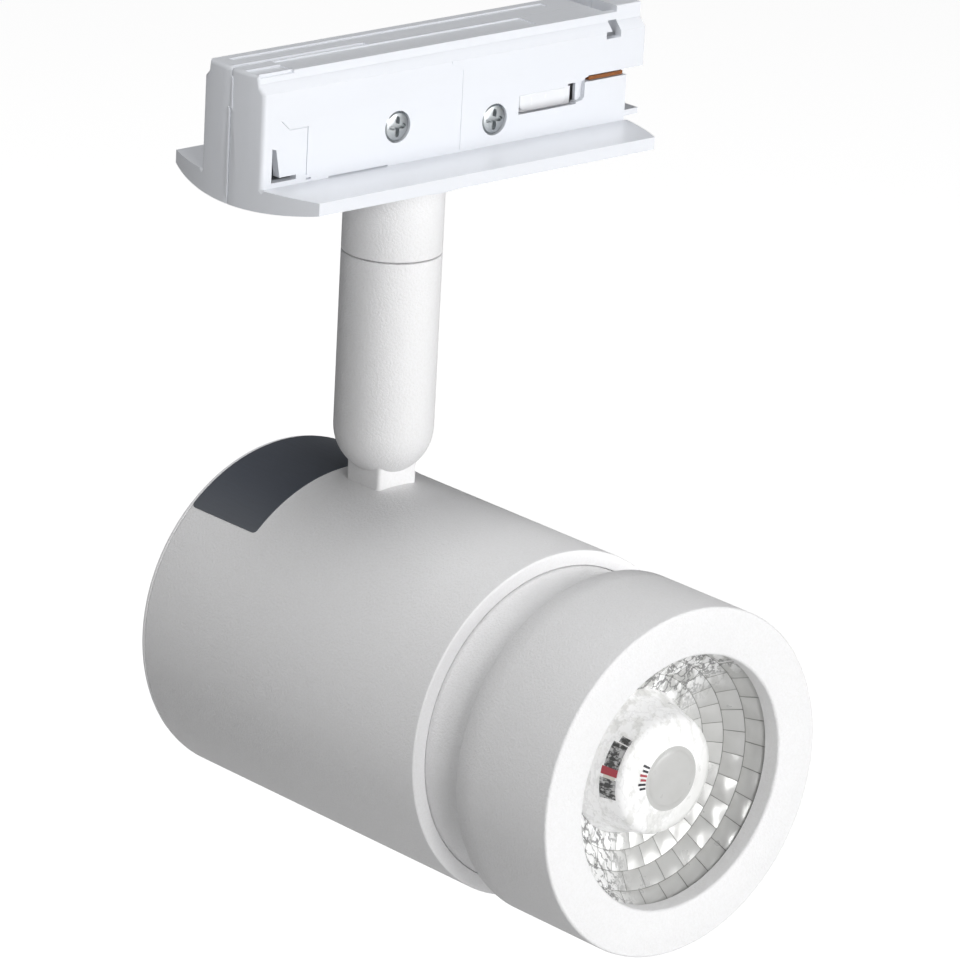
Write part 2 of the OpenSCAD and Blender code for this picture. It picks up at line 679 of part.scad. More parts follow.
// Neck, sleeve and face in one turned piece with bayonet grooves inside its spigot
module front_ring() color("white") along_head() difference() {
  rotate_extrude() difference() {
    union() {
      translate([ring_bore, ring_d0]) square([spigot_r - ring_bore, neck_d1 - ring_d0 + 1]);
      translate([ring_bore, neck_d1]) square([sleeve_d / 2 - ring_bore, sleeve_l]);
      translate([aperture_r, seat_d]) square([ring_bore - aperture_r + 1, lens_depth]);
    }
    translate([ring_bore - 1, neck_d1 + 2.5])
      square([relief_r - ring_bore + 1, sleeve_l - lens_depth - 6]);
    waist_l = neck_l - 1.6;
    waist_r = (waist_l * waist_l / 4 + waist_depth * waist_depth) / (2 * waist_depth);
    translate([spigot_r + waist_r - waist_depth, body_front + neck_l / 2]) circle(r = waist_r);
  }
  for (a = pin_angles) {
    margin = asin(groove_w / 2 / groove_r);
    rotate(a - ring_turn - margin) rotate_extrude(angle = ring_turn + 2 * margin)
      translate([ring_bore - 1, pin_d - groove_w / 2]) square([groove_r - ring_bore + 1, groove_w]);
    rotate(a - ring_turn) span([ring_bore - 1, -groove_w / 2, 0], [groove_r, groove_w / 2, pin_d]);
  }
}

module lens_gasket() color("dimgray") along_head()
  tube(rim_r, aperture_r + 0.5, lens_d1 + 0.05, seat_d);

front_shell();
rear_shell();
shell_screws();
contact_carrier();
live_contact();
neutral_contact();
supply_leads();
pawl_pins();
release_spring();
nipple();
nipple_nut();
collar();
pan_stop_pin();
slip_washer();
wave_washer();
swivel_nut();
release_slider();
front_pawl();
rear_pawl();
stem_tube();
pivot_screw();
knuckle();
knuckle_screws();
housing_tube();
rear_cap();
rear_cap_screws();
heat_sink();
ring_pins();
driver_cradle();
driver_board();
driver_transformer();
driver_capacitors();
terminal_block();
head_leads();
led_leads();
thermal_pad();
led_board();
led_emitter();
led_holder();
holder_screws();
lens();
rating_label();
front_ring();
lens_gasket();
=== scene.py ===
"""Looks of the track spotlight: finishes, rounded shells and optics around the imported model."""
from math import acos, asin, atan2, cos, pi, radians, sin, sqrt, tan

import bmesh
import bpy
from mathutils import Matrix, Vector


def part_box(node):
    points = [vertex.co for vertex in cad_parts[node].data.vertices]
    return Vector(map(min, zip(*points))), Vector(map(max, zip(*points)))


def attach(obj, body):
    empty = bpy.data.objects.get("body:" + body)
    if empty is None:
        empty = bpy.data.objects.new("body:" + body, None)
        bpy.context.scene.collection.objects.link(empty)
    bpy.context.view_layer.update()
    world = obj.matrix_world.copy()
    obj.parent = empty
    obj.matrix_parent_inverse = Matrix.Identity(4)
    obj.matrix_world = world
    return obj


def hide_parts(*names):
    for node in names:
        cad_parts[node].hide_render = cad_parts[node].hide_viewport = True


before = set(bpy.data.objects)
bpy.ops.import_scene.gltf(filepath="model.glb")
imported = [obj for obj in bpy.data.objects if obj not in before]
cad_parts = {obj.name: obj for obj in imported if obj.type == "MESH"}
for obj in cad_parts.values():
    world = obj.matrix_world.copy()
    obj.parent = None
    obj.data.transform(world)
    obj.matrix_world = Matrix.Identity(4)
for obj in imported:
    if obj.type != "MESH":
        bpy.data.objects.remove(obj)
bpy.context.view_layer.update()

MM = 0.001


# ---- sizes read from the frame, in millimetres ------------------------------------------------

def node_box(node):
    """Lowest and highest corner of a CAD node, in millimetres."""
    low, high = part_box(node)
    return [v / MM for v in low], [v / MM for v in high]


shell_low, shell_high = node_box("rear_shell")
collar_low, collar_high = node_box("collar")
stem_low, stem_high = node_box("stem_tube")
knuckle_high = node_box("knuckle")[1]
tube_low, tube_high = node_box("housing_tube")
cap_high = node_box("rear_cap")[1]
ring_low, ring_high = node_box("front_ring")
lens_low = node_box("lens")[0]
label_low, label_high = node_box("rating_label")

HEAD_Z = (tube_low[2] + tube_high[2]) / 2
HEAD_R = (tube_high[0] - tube_low[0]) / 2
HOUSING_WALL = 2.42
TUBE_BORE = HEAD_R - HOUSING_WALL
SPIGOT_REACH = TUBE_BORE + 0.04
STEM_R = stem_high[0]
PIVOT_Z = knuckle_high[2] - knuckle_high[0]
HALF_FLANGE = shell_high[1]
CORNER_LEFT, CORNER_RIGHT = 30.2, 39.1
END_BULGE = 3.8
FLANGE_EDGE, FLANGE_BELLY = 2.05, 1.75
BODY_HALF, CROWN_HALF = 7.15, 5.85
BODY_X0, BODY_X1 = -CORNER_LEFT - END_BULGE, CORNER_RIGHT + 2.6
NOSE_X1 = BODY_X1 + 3.5
PLATE_X0, PLATE_Y1, PLATE_Z1 = NOSE_X1 - 5.2, 3.5, shell_high[2] - 0.4
BODY_Z1 = shell_high[2] - 1.4
CROWN_Z = BODY_Z1 - 1.4
SHOULDER_Z = CROWN_Z - 1.4
SHELL_WALL = 1.4
CAVITY_HALF = BODY_HALF - SHELL_WALL
SLOT_Z0, SLOT_Z1, SLOT_X0, SLOT_DEPTH = 7.5, 8.5, BODY_X1 - 8.3, 3.2
WINDOW_X0, WINDOW_X1, WINDOW_Z0, WINDOW_Z1 = BODY_X1 - 22.9, BODY_X1 - 10.7, 4.2, 7.3
BOSS_R, BOSS_Z = 11.4, shell_low[2]
NIPPLE_HOLE_R = 3.95
SPLIT = 0.05
SCREWS = [(-6.3, 6.0), (13.8, 4.2)]
BORE_DEPTH = 1.0
END_ROUND, SEAM_ROUND = 0.62, 0.16
PILLAR_R, PILLAR_TURNS = 19, (30, 150, 270)
PIVOT_BORE_R = 1.55


# ---- finishes ---------------------------------------------------------------------------------

class Socket:
    """One output in a node tree, so that shader maths reads as an expression."""

    def __init__(self, tree, link):
        self.tree, self.link = tree, link

    def math(self, operation, a, b):
        return self.tree.node("ShaderNodeMath", {"operation": operation}, {0: a, 1: b})

    def __add__(self, other):
        return self.math("ADD", self, other)

    def __radd__(self, other):
        return self.math("ADD", other, self)

    def __sub__(self, other):
        return self.math("SUBTRACT", self, other)

    def __rsub__(self, other):
        return self.math("SUBTRACT", other, self)

    def __mul__(self, other):
        return self.math("MULTIPLY", self, other)

    def __rmul__(self, other):
        return self.math("MULTIPLY", other, self)


class Tree:
    """The nodes of a material or of the world."""

    def __init__(self, owner):
        owner.use_nodes = True
        self.nodes, self.links = owner.node_tree.nodes, owner.node_tree.links

    def node(self, kind, settings=None, inputs=None, out=0):
        """Adds a node with its settings and the values or links of its sockets, and gives one output."""
        made = self.nodes.new(kind)
        for key, value in (settings or {}).items():
            setattr(made, key, value)
        for key, value in (inputs or {}).items():
            if isinstance(value, Socket):
                self.links.new(value.link, made.inputs[key])
            else:
                made.inputs[key].default_value = value
        return Socket(self, made.outputs[out])


class Finish(Tree):
    """A procedural material around one Principled shader."""

    def __init__(self, name, **constants):
        self.material = bpy.data.materials.new(name)
        super().__init__(self.material)
        self.shader = self.nodes["Principled BSDF"]
        for key, value in constants.items():
            self.shader.inputs[key.replace("_", " ")].default_value = value
        self.place = self.node("ShaderNodeTexCoord", out="Object")

    def axis(self, letter):
        """The place along one axis, in metres."""
        return self.node("ShaderNodeSeparateXYZ", {}, {"Vector": self.place}, out=letter)

    def noise(self, scale, detail=3.0, rough=0.5, stretch=None):
        place = self.place
        if stretch:
            place = self.node("ShaderNodeMapping", {}, {"Vector": place, "Scale": stretch})
        return self.node("ShaderNodeTexNoise", {}, {"Vector": place, "Scale": scale, "Detail": detail,
                                                    "Roughness": rough}, out="Fac")

    def band(self, value, low, high):
        """Runs from 0 below low to 1 above high."""
        return self.node("ShaderNodeMapRange", {"interpolation_type": "SMOOTHSTEP"},
                         {"Value": value, "From Min": low, "From Max": high})

    def mix(self, share, a, b):
        return self.node("ShaderNodeMix", {"data_type": "RGBA"}, {0: share, 6: a, 7: b}, out=2)

    def feed(self, **sockets):
        for key, value in sockets.items():
            self.links.new(value.link, self.shader.inputs[key.replace("_", " ")])
        return self

    def bump(self, height, strength, depth):
        self.feed(Normal=self.node("ShaderNodeBump", {}, {"Height": height, "Strength": strength,
                                                           "Distance": depth}, out="Normal"))
        return self


def grey(value, warm=0.0, cool=0.0):
    return (value * (1 + warm), value, min(1, value * (1 + cool)), 1)


def powder_coat(name, tone, grain=0.5):
    """Fine-textured white powder coat: a dense orange peel with faint clouds and rare specks."""
    f = Finish(name, Roughness=0.5, Coat_Weight=0.0)
    clouds = f.noise(45, 3)
    peel = f.noise(2600, 2, 0.6)
    fine = f.noise(6500, 2, 0.5)
    speck = f.band(f.noise(900, 1), 0.76, 0.80)
    pit = f.band(peel * 0.6 + fine * 0.4, 0.36, 0.62)
    tint = f.mix(clouds * 0.35 + pit * 0.65, grey(tone * 0.945, 0.004, 0), grey(tone, 0, 0.012))
    f.feed(Base_Color=f.mix(speck * 0.25, tint, grey(tone * 0.82)))
    f.feed(Roughness=0.40 + clouds * 0.12 + fine * 0.08)
    return f.bump(peel * 0.75 + fine * 0.25, grain, 0.00030)


def moulded_plastic(name, tone, rough=0.3, cool=0.03, wear_and_painted_shade=None):
    """Semi-gloss moulded plastic with flow marks; an optional pair of heights gives a painted shade: below
    the lower height it turns a grey of half its tone, above the higher it keeps its own tone.
    """
    f = Finish(name, Roughness=rough, IOR=1.49)
    flow = f.noise(70, 4, 0.6, (1, 5, 5))
    scuff = f.band(f.noise(500, 5, 0.7, (1, 3, 0.6)), 0.62, 0.75)
    tint = f.mix(flow, grey(tone, -cool * 0.5, cool), grey(tone * 0.97, -cool * 0.4, cool * 0.8))
    # painted shade: towards the bottom the colour is mixed down to half its tone, so the lower part looks
    # shaded
    if wear_and_painted_shade:
        tint = f.mix(f.band(f.axis("Z"), *wear_and_painted_shade), grey(tone * 0.5, 0, 0.04), tint)
    f.feed(Base_Color=tint)
    f.feed(Roughness=rough - 0.04 + flow * 0.10 + scuff * 0.14)
    return f.bump(f.noise(1500, 3) * 0.6 + flow * 0.4, 0.12, 0.00004)


def plated_steel(name, tone=0.50, rough=0.22):
    """Bright zinc plating with a faint crystalline mottle."""
    f = Finish(name, Metallic=1.0)
    mottle = f.node("ShaderNodeTexVoronoi", {"feature": "F1"}, {"Vector": f.place, "Scale": 1800},
                    out="Distance")
    # a random mottle of wear in the plating's tone
    wear_and_painted_shade = f.noise(350, 4)
    f.feed(Base_Color=f.mix(wear_and_painted_shade, grey(tone, -0.06, 0.04), grey(tone * 0.8, -0.03, 0)))
    f.feed(Roughness=rough + mottle * 0.1 + wear_and_painted_shade * 0.12)
    return f.bump(mottle + wear_and_painted_shade, 0.15, 0.00003)


def bare_copper(name):
    f = Finish(name, Metallic=1.0)
    stain = f.noise(600, 4, 0.6, (1, 4, 4))
    f.feed(Base_Color=f.mix(stain, (0.44, 0.18, 0.075, 1), (0.19, 0.07, 0.03, 1)))
    f.feed(Roughness=0.22 + stain * 0.25)
    return f.bump(f.noise(2500, 3, 0.5, (1, 9, 9)), 0.2, 0.00003)


def machined_aluminium(name, tone=0.75):
    f = Finish(name, Metallic=1.0)
    rings = f.noise(2200, 2, 0.5, (1, 0.05, 1))
    f.feed(Base_Color=f.mix(rings, grey(tone), grey(tone * 0.85)))
    f.feed(Roughness=0.25 + rings * 0.2)
    return f.bump(rings, 0.2, 0.00003)


def plain_stuff(name, colour, rough, scale=900, grain=0.2, metallic=0.0):
    """Small dull or shiny pieces: their colour varies a little and their surface is grained."""
    f = Finish(name, Metallic=metallic)
    cloud = f.noise(scale, 4)
    dark = tuple(c * 0.78 for c in colour[:3]) + (1,)
    f.feed(Base_Color=f.mix(cloud, colour, dark), Roughness=rough - 0.05 + cloud * 0.15)
    return f.bump(cloud, grain, 0.00004)


def streaked(name):
    """Dark lead broken into streaks by the lens in front of it."""
    f = Finish(name, Coat_Weight=0.3)
    streak = f.band(f.noise(900, 4, 0.6, (0.5, 1, 1.6)), 0.44, 0.58)
    f.feed(Base_Color=f.mix(streak, grey(0.035), grey(0.50)), Roughness=0.3 + streak * 0.2)
    return f.bump(streak, 0.3, 0.00005)


def silver_foil(name):
    """Satin silver sticker foil with a fine drawn grain along the lamp, and a painted reflection that runs
    from lighter grey at the bottom to dark blue-grey at the top.
    """
    f = Finish(name, Metallic=0.55, Coat_Weight=0.25, Coat_Roughness=0.2)
    grain = f.noise(3000, 2, 0.5, (1, 0.06, 1))
    ripple = f.noise(120, 2)
    # painted reflection: the sticker is lighter grey below z = -72 mm and dark blue-grey above z = -56 mm
    film = f.mix(f.band(f.axis("Z"), -0.072, -0.056), grey(0.36, -0.05, 0.06), grey(0.13, -0.12, 0.25))
    f.feed(Base_Color=f.mix(grain * 0.3, film, grey(0.12)))
    f.feed(Roughness=0.34 + grain * 0.12 + ripple * 0.06)
    return f.bump(ripple * 0.8 + grain * 0.2, 0.15, 0.00005)


def facet_mirror(name, tone, metal, ripple=0.3, streaks=0.0):
    """Clear moulding with a silvered back, bright and faintly rippled; painted reflections break up its
    upper left, as white painted highlights and dark painted streaks.
    """
    f = Finish(name, Metallic=metal, Coat_Weight=0.1, Coat_Roughness=0.2)
    swirl = f.noise(330, 3)
    tint = f.mix(swirl, grey(tone, 0, -0.01), grey(tone * 0.86, 0, -0.03))
    if streaks:
        # painted reflections on the upper left (towards -x and up): white painted highlights, and dark
        # painted streaks whose strength the streaks argument sets
        painted_reflection_upper_left = f.band((f.axis("Z") - HEAD_Z * MM) * 0.6 - f.axis("X"), -0.010, -0.001)
        wave = f.noise(520, 4, 0.6, (1.0, 1.0, 0.45))
        dark = f.band(wave, 0.46, 0.49) - f.band(wave, 0.515, 0.55)
        painted_highlight = f.band(f.noise(380, 4, 0.6, (1.0, 1.0, 0.6)), 0.40, 0.52)
        tint = f.mix(painted_reflection_upper_left * painted_highlight, tint, grey(1.0))
        tint = f.mix(painted_reflection_upper_left * dark * streaks, tint, grey(0.16))
    f.feed(Base_Color=tint)
    f.feed(Roughness=0.22 + swirl * 0.16)
    return f.bump(f.noise(700, 3), ripple, 0.0001)


FINISHES = {
    "powder": powder_coat("white_powder_coat", 0.84),
    "knuckle": powder_coat("smooth_white_enamel", 0.90, 0.08),
    "plastic": moulded_plastic("white_adapter_plastic", 0.81, 0.3, 0.055),
    "inner": moulded_plastic("white_heatproof_plastic", 0.80, 0.45, 0.0),
    "zinc": plated_steel("zinc_plate"),
    "copper": bare_copper("copper_strip"),
    "aluminium": machined_aluminium("turned_aluminium"),
    "nylon": plain_stuff("natural_nylon", (0.80, 0.78, 0.70, 1), 0.45),
    "brown": plain_stuff("brown_insulation", (0.16, 0.07, 0.03, 1), 0.45),
    "red": plain_stuff("red_insulation", (0.46, 0.06, 0.08, 1), 0.4),
    "green": plain_stuff("solder_resist", (0.01, 0.12, 0.04, 1), 0.3),
    "ferrite": plain_stuff("taped_core", (0.62, 0.48, 0.10, 1), 0.4),
    "sleeve": plain_stuff("capacitor_sleeve", (0.02, 0.02, 0.03, 1), 0.3),
    "streak": streaked("lead_through_lens"),
    "terminal": plain_stuff("terminal_moulding", (0.05, 0.25, 0.10, 1), 0.4),
    "pad": plain_stuff("thermal_pad", (0.25, 0.25, 0.27, 1), 0.7),
    "phosphor": plain_stuff("phosphor_gel", (0.85, 0.62, 0.10, 1), 0.35),
    "foil": silver_foil("silver_sticker"),
    # a brighter copy of the white powder coat: painted light on the housing's front face
    "lip": powder_coat("front_lip_painted_light", 0.98, 0.1),
    # the latch bars get a painted shade: darker grey below z = 4.3 mm, their own tone above z = 6.0 mm
    "latch": moulded_plastic("white_latch_plastic", 0.84, 0.25, 0.03, (0.0043, 0.0060)),
    "gasket": plain_stuff("silicone_gasket", (0.05, 0.05, 0.055, 1), 0.55),
    # the faceted cup and the smooth cone carry painted highlights and painted dark streaks on their upper
    # left
    "facets": facet_mirror("faceted_mirror", 0.66, 0.25, streaks=0.8),
    "shade": plain_stuff("mirror_edge", (0.30, 0.30, 0.28, 1), 0.4),
    "throat": facet_mirror("smooth_reflector", 0.90, 0.0, streaks=0.12),
    "dome": facet_mirror("lens_glass", 0.56, 0.0, 0.6),
}

CAD_FINISH = {
    "zinc": ["pawl_pins", "release_spring", "nipple", "nipple_nut", "pan_stop_pin", "wave_washer",
             "swivel_nut", "knuckle_screws", "ring_pins", "holder_screws"],
    "plastic": ["release_slider"],
    "latch": ["front_pawl", "rear_pawl"],
    "inner": ["contact_carrier", "driver_cradle", "led_holder"],
    "copper": ["live_contact", "neutral_contact"],
    "brown": ["supply_leads", "head_leads"],
    "red": ["led_leads"],
    "nylon": ["slip_washer"],
    "aluminium": ["heat_sink", "led_board"],
    "green": ["driver_board"],
    "ferrite": ["driver_transformer"],
    "sleeve": ["driver_capacitors"],
    "terminal": ["terminal_block"],
    "pad": ["thermal_pad"],
    "phosphor": ["led_emitter"],
    "gasket": ["lens_gasket"],
}


# ---- mesh tools, all in millimetres -----------------------------------------------------------

def new_piece(name, verts, faces):
    mesh = bpy.data.meshes.new(name)
    mesh.from_pydata([tuple(v) for v in verts], [], faces)
    mesh.update()
    piece = bpy.data.objects.new(name, mesh)
    bpy.context.collection.objects.link(piece)
    return piece


def outward(piece):
    """Makes every face's normal point out of a closed mesh."""
    work = bmesh.new()
    work.from_mesh(piece.data)
    bmesh.ops.recalc_face_normals(work, faces=work.faces)
    work.to_mesh(piece.data)
    work.free()
    return piece


def prism(name, outline, start, end, place):
    """An outline of (a, b) points carried from start to end; place(a, b, c) gives the point in space."""
    n = len(outline)
    verts = [place(a, b, c) for c in (start, end) for a, b in outline]
    faces = [list(range(n)), list(range(2 * n - 1, n - 1, -1))]
    faces += [[i, n + i, n + (i + 1) % n, (i + 1) % n] for i in range(n)]
    return outward(new_piece(name, verts, faces))


def block(name, low, high):
    return prism(name, [(low[0], low[1]), (high[0], low[1]), (high[0], high[1]), (low[0], high[1])],
                 low[2], high[2], lambda a, b, c: (a, b, c))


def lathe(name, profile, place, sides=192, closed=True):
    """Turns (radius, distance) points round an axis; place(a, b, d) gives the point in space."""
    n = len(profile)
    verts, rows = [], []
    for r, d in profile:
        if r < 1e-6:
            verts.append(place(0, 0, d))
            rows.append([len(verts) - 1] * sides)
        else:
            first = len(verts)
            turns = [2 * pi * k / sides for k in range(sides)]
            verts += [place(r * cos(t), r * sin(t), d) for t in turns]
            rows.append(list(range(first, first + sides)))
    faces = []
    for i in range(n if closed else n - 1):
        a, b = rows[i], rows[(i + 1) % n]
        for k in range(sides):
            m = (k + 1) % sides
            quad = []
            for v in (a[k], a[m], b[m], b[k]):
                if v not in quad:
                    quad.append(v)
            if len(quad) > 2:
                faces.append(quad)
    return outward(new_piece(name, verts, faces))


def rounded(points, radii, steps=4):
    """The outline with each corner turned into an arc of its own radius; 0 keeps it sharp."""
    out = []
    n = len(points)
    for i, (p, r) in enumerate(zip(points, radii)):
        if r <= 0:
            out.append(p)
            continue
        here = Vector(p)
        a = (Vector(points[i - 1]) - here).normalized()
        b = (Vector(points[(i + 1) % n]) - here).normalized()
        half = acos(max(-1, min(1, a.dot(b)))) / 2
        centre = here + (a + b).normalized() * (r / sin(half))
        first = here + a * (r / tan(half)) - centre
        last = here + b * (r / tan(half)) - centre
        turn = atan2(first.x * last.y - first.y * last.x, first.dot(last))
        for k in range(steps + 1):
            t = turn * k / steps
            out.append((centre.x + first.x * cos(t) - first.y * sin(t),
                        centre.y + first.x * sin(t) + first.y * cos(t)))
    return out


# ways to stand a turned or extruded piece: (a, b) across its axis and d along it

def upright(a, b, d):
    return (a, b, d)


def along_head(a, b, d):
    return (a, -d, HEAD_Z + b)


def along_track(a, b, d):
    return (d, a, b)


def along_y(x, z):
    return lambda a, b, d: (x + a, d, z + b)


def along_x(y, z):
    return lambda a, b, d: (d, y + a, z + b)


def apply_modifiers(piece):
    graph = bpy.context.evaluated_depsgraph_get()
    mesh = bpy.data.meshes.new_from_object(piece.evaluated_get(graph))
    piece.modifiers.clear()
    old = piece.data
    piece.data = mesh
    bpy.data.meshes.remove(old)
    return piece


def combine(piece, others, operation):
    """Adds or cuts other pieces, which are used up."""
    for other in others:
        step = piece.modifiers.new("combine", "BOOLEAN")
        step.operation, step.object, step.solver = operation, other, "EXACT"
        apply_modifiers(piece)
        bpy.data.objects.remove(other)
    return piece


def soften(piece, width, angle=35, segments=2):
    """Rounds the sharp edges and shades the rest smooth."""
    shade(piece, 28)
    edge = piece.modifiers.new("edge", "BEVEL")
    edge.width, edge.segments, edge.limit_method = width, segments, "ANGLE"
    edge.angle_limit, edge.use_clamp_overlap, edge.harden_normals = radians(angle), True, True
    return apply_modifiers(piece)


def shade(piece, angle=30):
    for face in piece.data.polygons:
        face.use_smooth = True
    piece.data.set_sharp_from_angle(angle=radians(angle))


def finish_piece(piece, finish, body, *nodes, slot=None):
    """Turns the millimetres into metres, gives the finish and mounts the piece on its body."""
    piece.data.transform(Matrix.Scale(MM, 4))
    piece.data.materials.clear()
    piece.data.materials.append(FINISHES[finish].material)
    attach(piece, body)
    if nodes:
        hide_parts(*nodes)
    return piece


# ---- adapter ----------------------------------------------------------------------------------

def bulge(y):
    """How far the flange's end stands past its corners at a distance from the middle."""
    r = (HALF_FLANGE ** 2 + END_BULGE ** 2) / (2 * END_BULGE)
    return END_BULGE - r + sqrt(r * r - y * y)


def belly(y):
    r = (HALF_FLANGE ** 2 + FLANGE_BELLY ** 2) / (2 * FLANGE_BELLY)
    return -FLANGE_EDGE - FLANGE_BELLY + r - sqrt(r * r - y * y)


def half_blank(side):
    """Flange and body of one half, as sections stacked outwards so that their ends are one surface."""
    levels = [(SPLIT + (CROWN_HALF - SPLIT) * i / 3, BODY_Z1) for i in range(4)]
    levels += [(CROWN_HALF, CROWN_Z), (BODY_HALF, SHOULDER_Z)]
    levels += [(BODY_HALF + (HALF_FLANGE - BODY_HALF) * i / 7, 0) for i in range(8)]
    work = bmesh.new()
    rows = []
    for y, top in levels:
        x0, x1 = -CORNER_LEFT - bulge(y), CORNER_RIGHT + bulge(y)
        side_x = BODY_X1 if top else min(BODY_X1, x1 - 0.5)
        points = [(x0, belly(y)), (x1, belly(y)), (x1, 0), (side_x, 0), (side_x, top), (x0, top), (x0, 0)]
        rows.append([work.verts.new((x, side * y, z)) for x, z in points])
    for a, b in zip(rows, rows[1:]):
        for k in range(len(a)):
            m = (k + 1) % len(a)
            work.faces.new((a[k], a[m], b[m], b[k]))
    work.faces.new(rows[0])
    work.faces.new(rows[-1])
    bmesh.ops.remove_doubles(work, verts=work.verts, dist=1e-4)
    bmesh.ops.dissolve_degenerate(work, edges=work.edges, dist=1e-4)
    bmesh.ops.recalc_face_normals(work, faces=work.faces)

    def left_edges(angle, half_width, lowest):
        """Edges sharper than an angle on the body's left end."""
        return [e for e in work.edges if len(e.link_faces) == 2 and e.calc_face_angle(0) > radians(angle)
                and all(v.co.x < BODY_X0 + 1.5 and v.co.z > lowest and abs(v.co.y) < half_width
                        for v in e.verts)]

    def round_over(edges, offset, segments):
        bmesh.ops.bevel(work, geom=edges, offset=offset, segments=segments, profile=0.5, affect="EDGES",
                        clamp_overlap=True)

    round_over([e for e in left_edges(30, BODY_HALF + 0.01, -0.01)
                if max(abs(v.co.y) for v in e.verts) >= 0.1 and max(v.co.z for v in e.verts) > 1],
               END_ROUND, 4)
    round_over(left_edges(50, 0.1, -9), SEAM_ROUND, 2)
    mesh = bpy.data.meshes.new("blank")
    work.to_mesh(mesh)
    work.free()
    piece = bpy.data.objects.new("blank", mesh)
    bpy.context.collection.objects.link(piece)
    return piece


def side_view(name, outline, y0, y1):
    """A shape drawn in x and z, carried across the track."""
    return prism(name, outline, y0, y1, lambda a, b, c: (a, c, b))


# stepped lands in the crown: x from and to, y from and to, depth
FRONT_LANDS = [(-33.2, -26.6, -6.2, -5.35, 0.5), (-33.3, -26.3, -5.3, -2.3, 0.3),
               (-26.4, 24, -4.7, -0.5, 0.2), (-33.3, -7, -0.4, 0, 0.25)]
REAR_LANDS = [(-33.3, -7, 0, 0.95, 0.25), (-31, 33, 2.6, 4.4, 0.2)]


